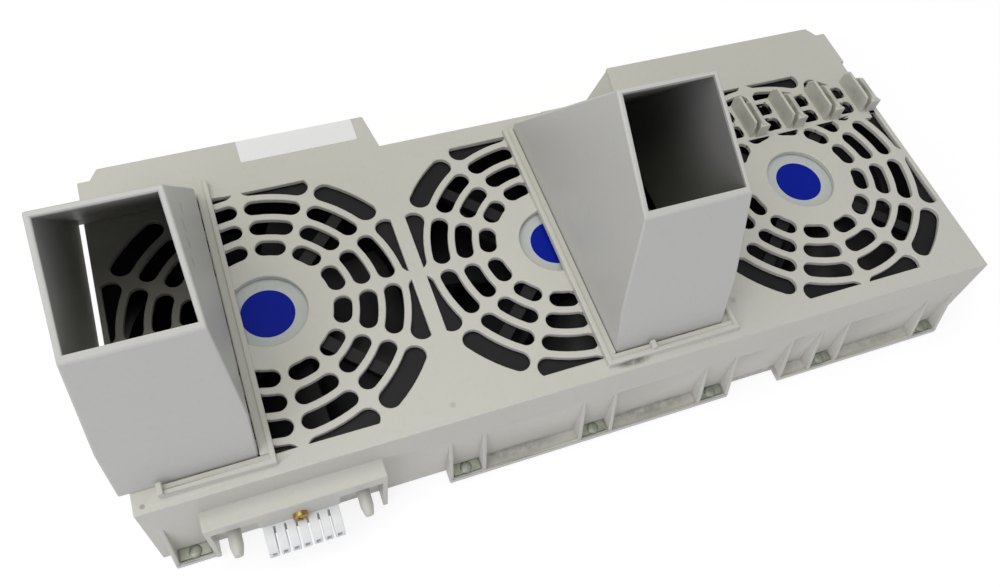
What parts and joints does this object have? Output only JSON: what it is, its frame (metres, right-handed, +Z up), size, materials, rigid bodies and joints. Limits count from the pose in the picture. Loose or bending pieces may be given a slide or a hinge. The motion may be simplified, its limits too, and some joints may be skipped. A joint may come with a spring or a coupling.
{
  "type": "fan tray assembly",
  "caption": "Moulded server fan tray with a row of axial fans under round slotted grilles, slanted air scoops, a hooded blind-mate connector and a sheet steel base.",
  "frame": {"origin": "axis of the middle fan, at the level of the shell's bottom edge", "axes": "+X along the tray from the connector end to the clip end, +Y to the back tabs, +Z up to the grilles"},
  "size_m": [0.3774, 0.177, 0.14],
  "materials": {
    "shell_plastic": "fine satin moulding, beige grey",
    "scoop_plastic": "fine satin moulding, beige grey",
    "zinc_steel": "zinc plated",
    "pad_rubber": "matt",
    "white_nylon": "natural white",
    "contact_brass": "plain",
    "fan_plastic": "black, glass filled",
    "bright_steel": "ground",
    "stator_steel": "stacked sheet",
    "magnet_ferrite": "sintered ferrite",
    "copper_wire": "enamelled copper wire",
    "circuit_board": "green solder mask"
  },
  "bodies": {
    "tray": {"tray_shell": "shell_plastic", "left_scoop": "scoop_plastic", "middle_scoop": "scoop_plastic", "base_plate": "zinc_steel", "tab_rivets": "zinc_steel", "fan_screws": "zinc_steel", "fan_pads": "pad_rubber", "connector_housing": "white_nylon", "connector_contacts": "contact_brass", "connector_screw": "contact_brass", "left_fan_frame": "fan_plastic", "left_fan_bearings": "bright_steel", "left_fan_stator": "stator_steel", "left_fan_coils": "copper_wire", "left_fan_board": "circuit_board", "middle_fan_frame": "fan_plastic", "middle_fan_bearings": "bright_steel", "middle_fan_stator": "stator_steel", "middle_fan_coils": "copper_wire", "middle_fan_board": "circuit_board", "right_fan_frame": "fan_plastic", "right_fan_bearings": "bright_steel", "right_fan_stator": "stator_steel", "right_fan_coils": "copper_wire", "right_fan_board": "circuit_board"},
    "left_rotor": {"left_fan_impeller": "fan_plastic", "left_fan_yoke": "bright_steel", "left_fan_magnet": "magnet_ferrite", "left_fan_shaft": "bright_steel"},
    "middle_rotor": {"middle_fan_impeller": "fan_plastic", "middle_fan_yoke": "bright_steel", "middle_fan_magnet": "magnet_ferrite", "middle_fan_shaft": "bright_steel"},
    "right_rotor": {"right_fan_impeller": "fan_plastic", "right_fan_yoke": "bright_steel", "right_fan_magnet": "magnet_ferrite", "right_fan_shaft": "bright_steel"}
  },
  "joints": [
    {"name": "left_fan_spin", "type": "hinge", "parent": "tray", "child": "left_rotor", "pos_m": [-0.125, 0, 0.027], "axis": [0, 0, 1], "continuous": true},
    {"name": "middle_fan_spin", "type": "hinge", "parent": "tray", "child": "middle_rotor", "pos_m": [0, 0, 0.027], "axis": [0, 0, 1], "continuous": true},
    {"name": "right_fan_spin", "type": "hinge", "parent": "tray", "child": "right_rotor", "pos_m": [0.125, 0, 0.027], "axis": [0, 0, 1], "continuous": true}
  ]
}
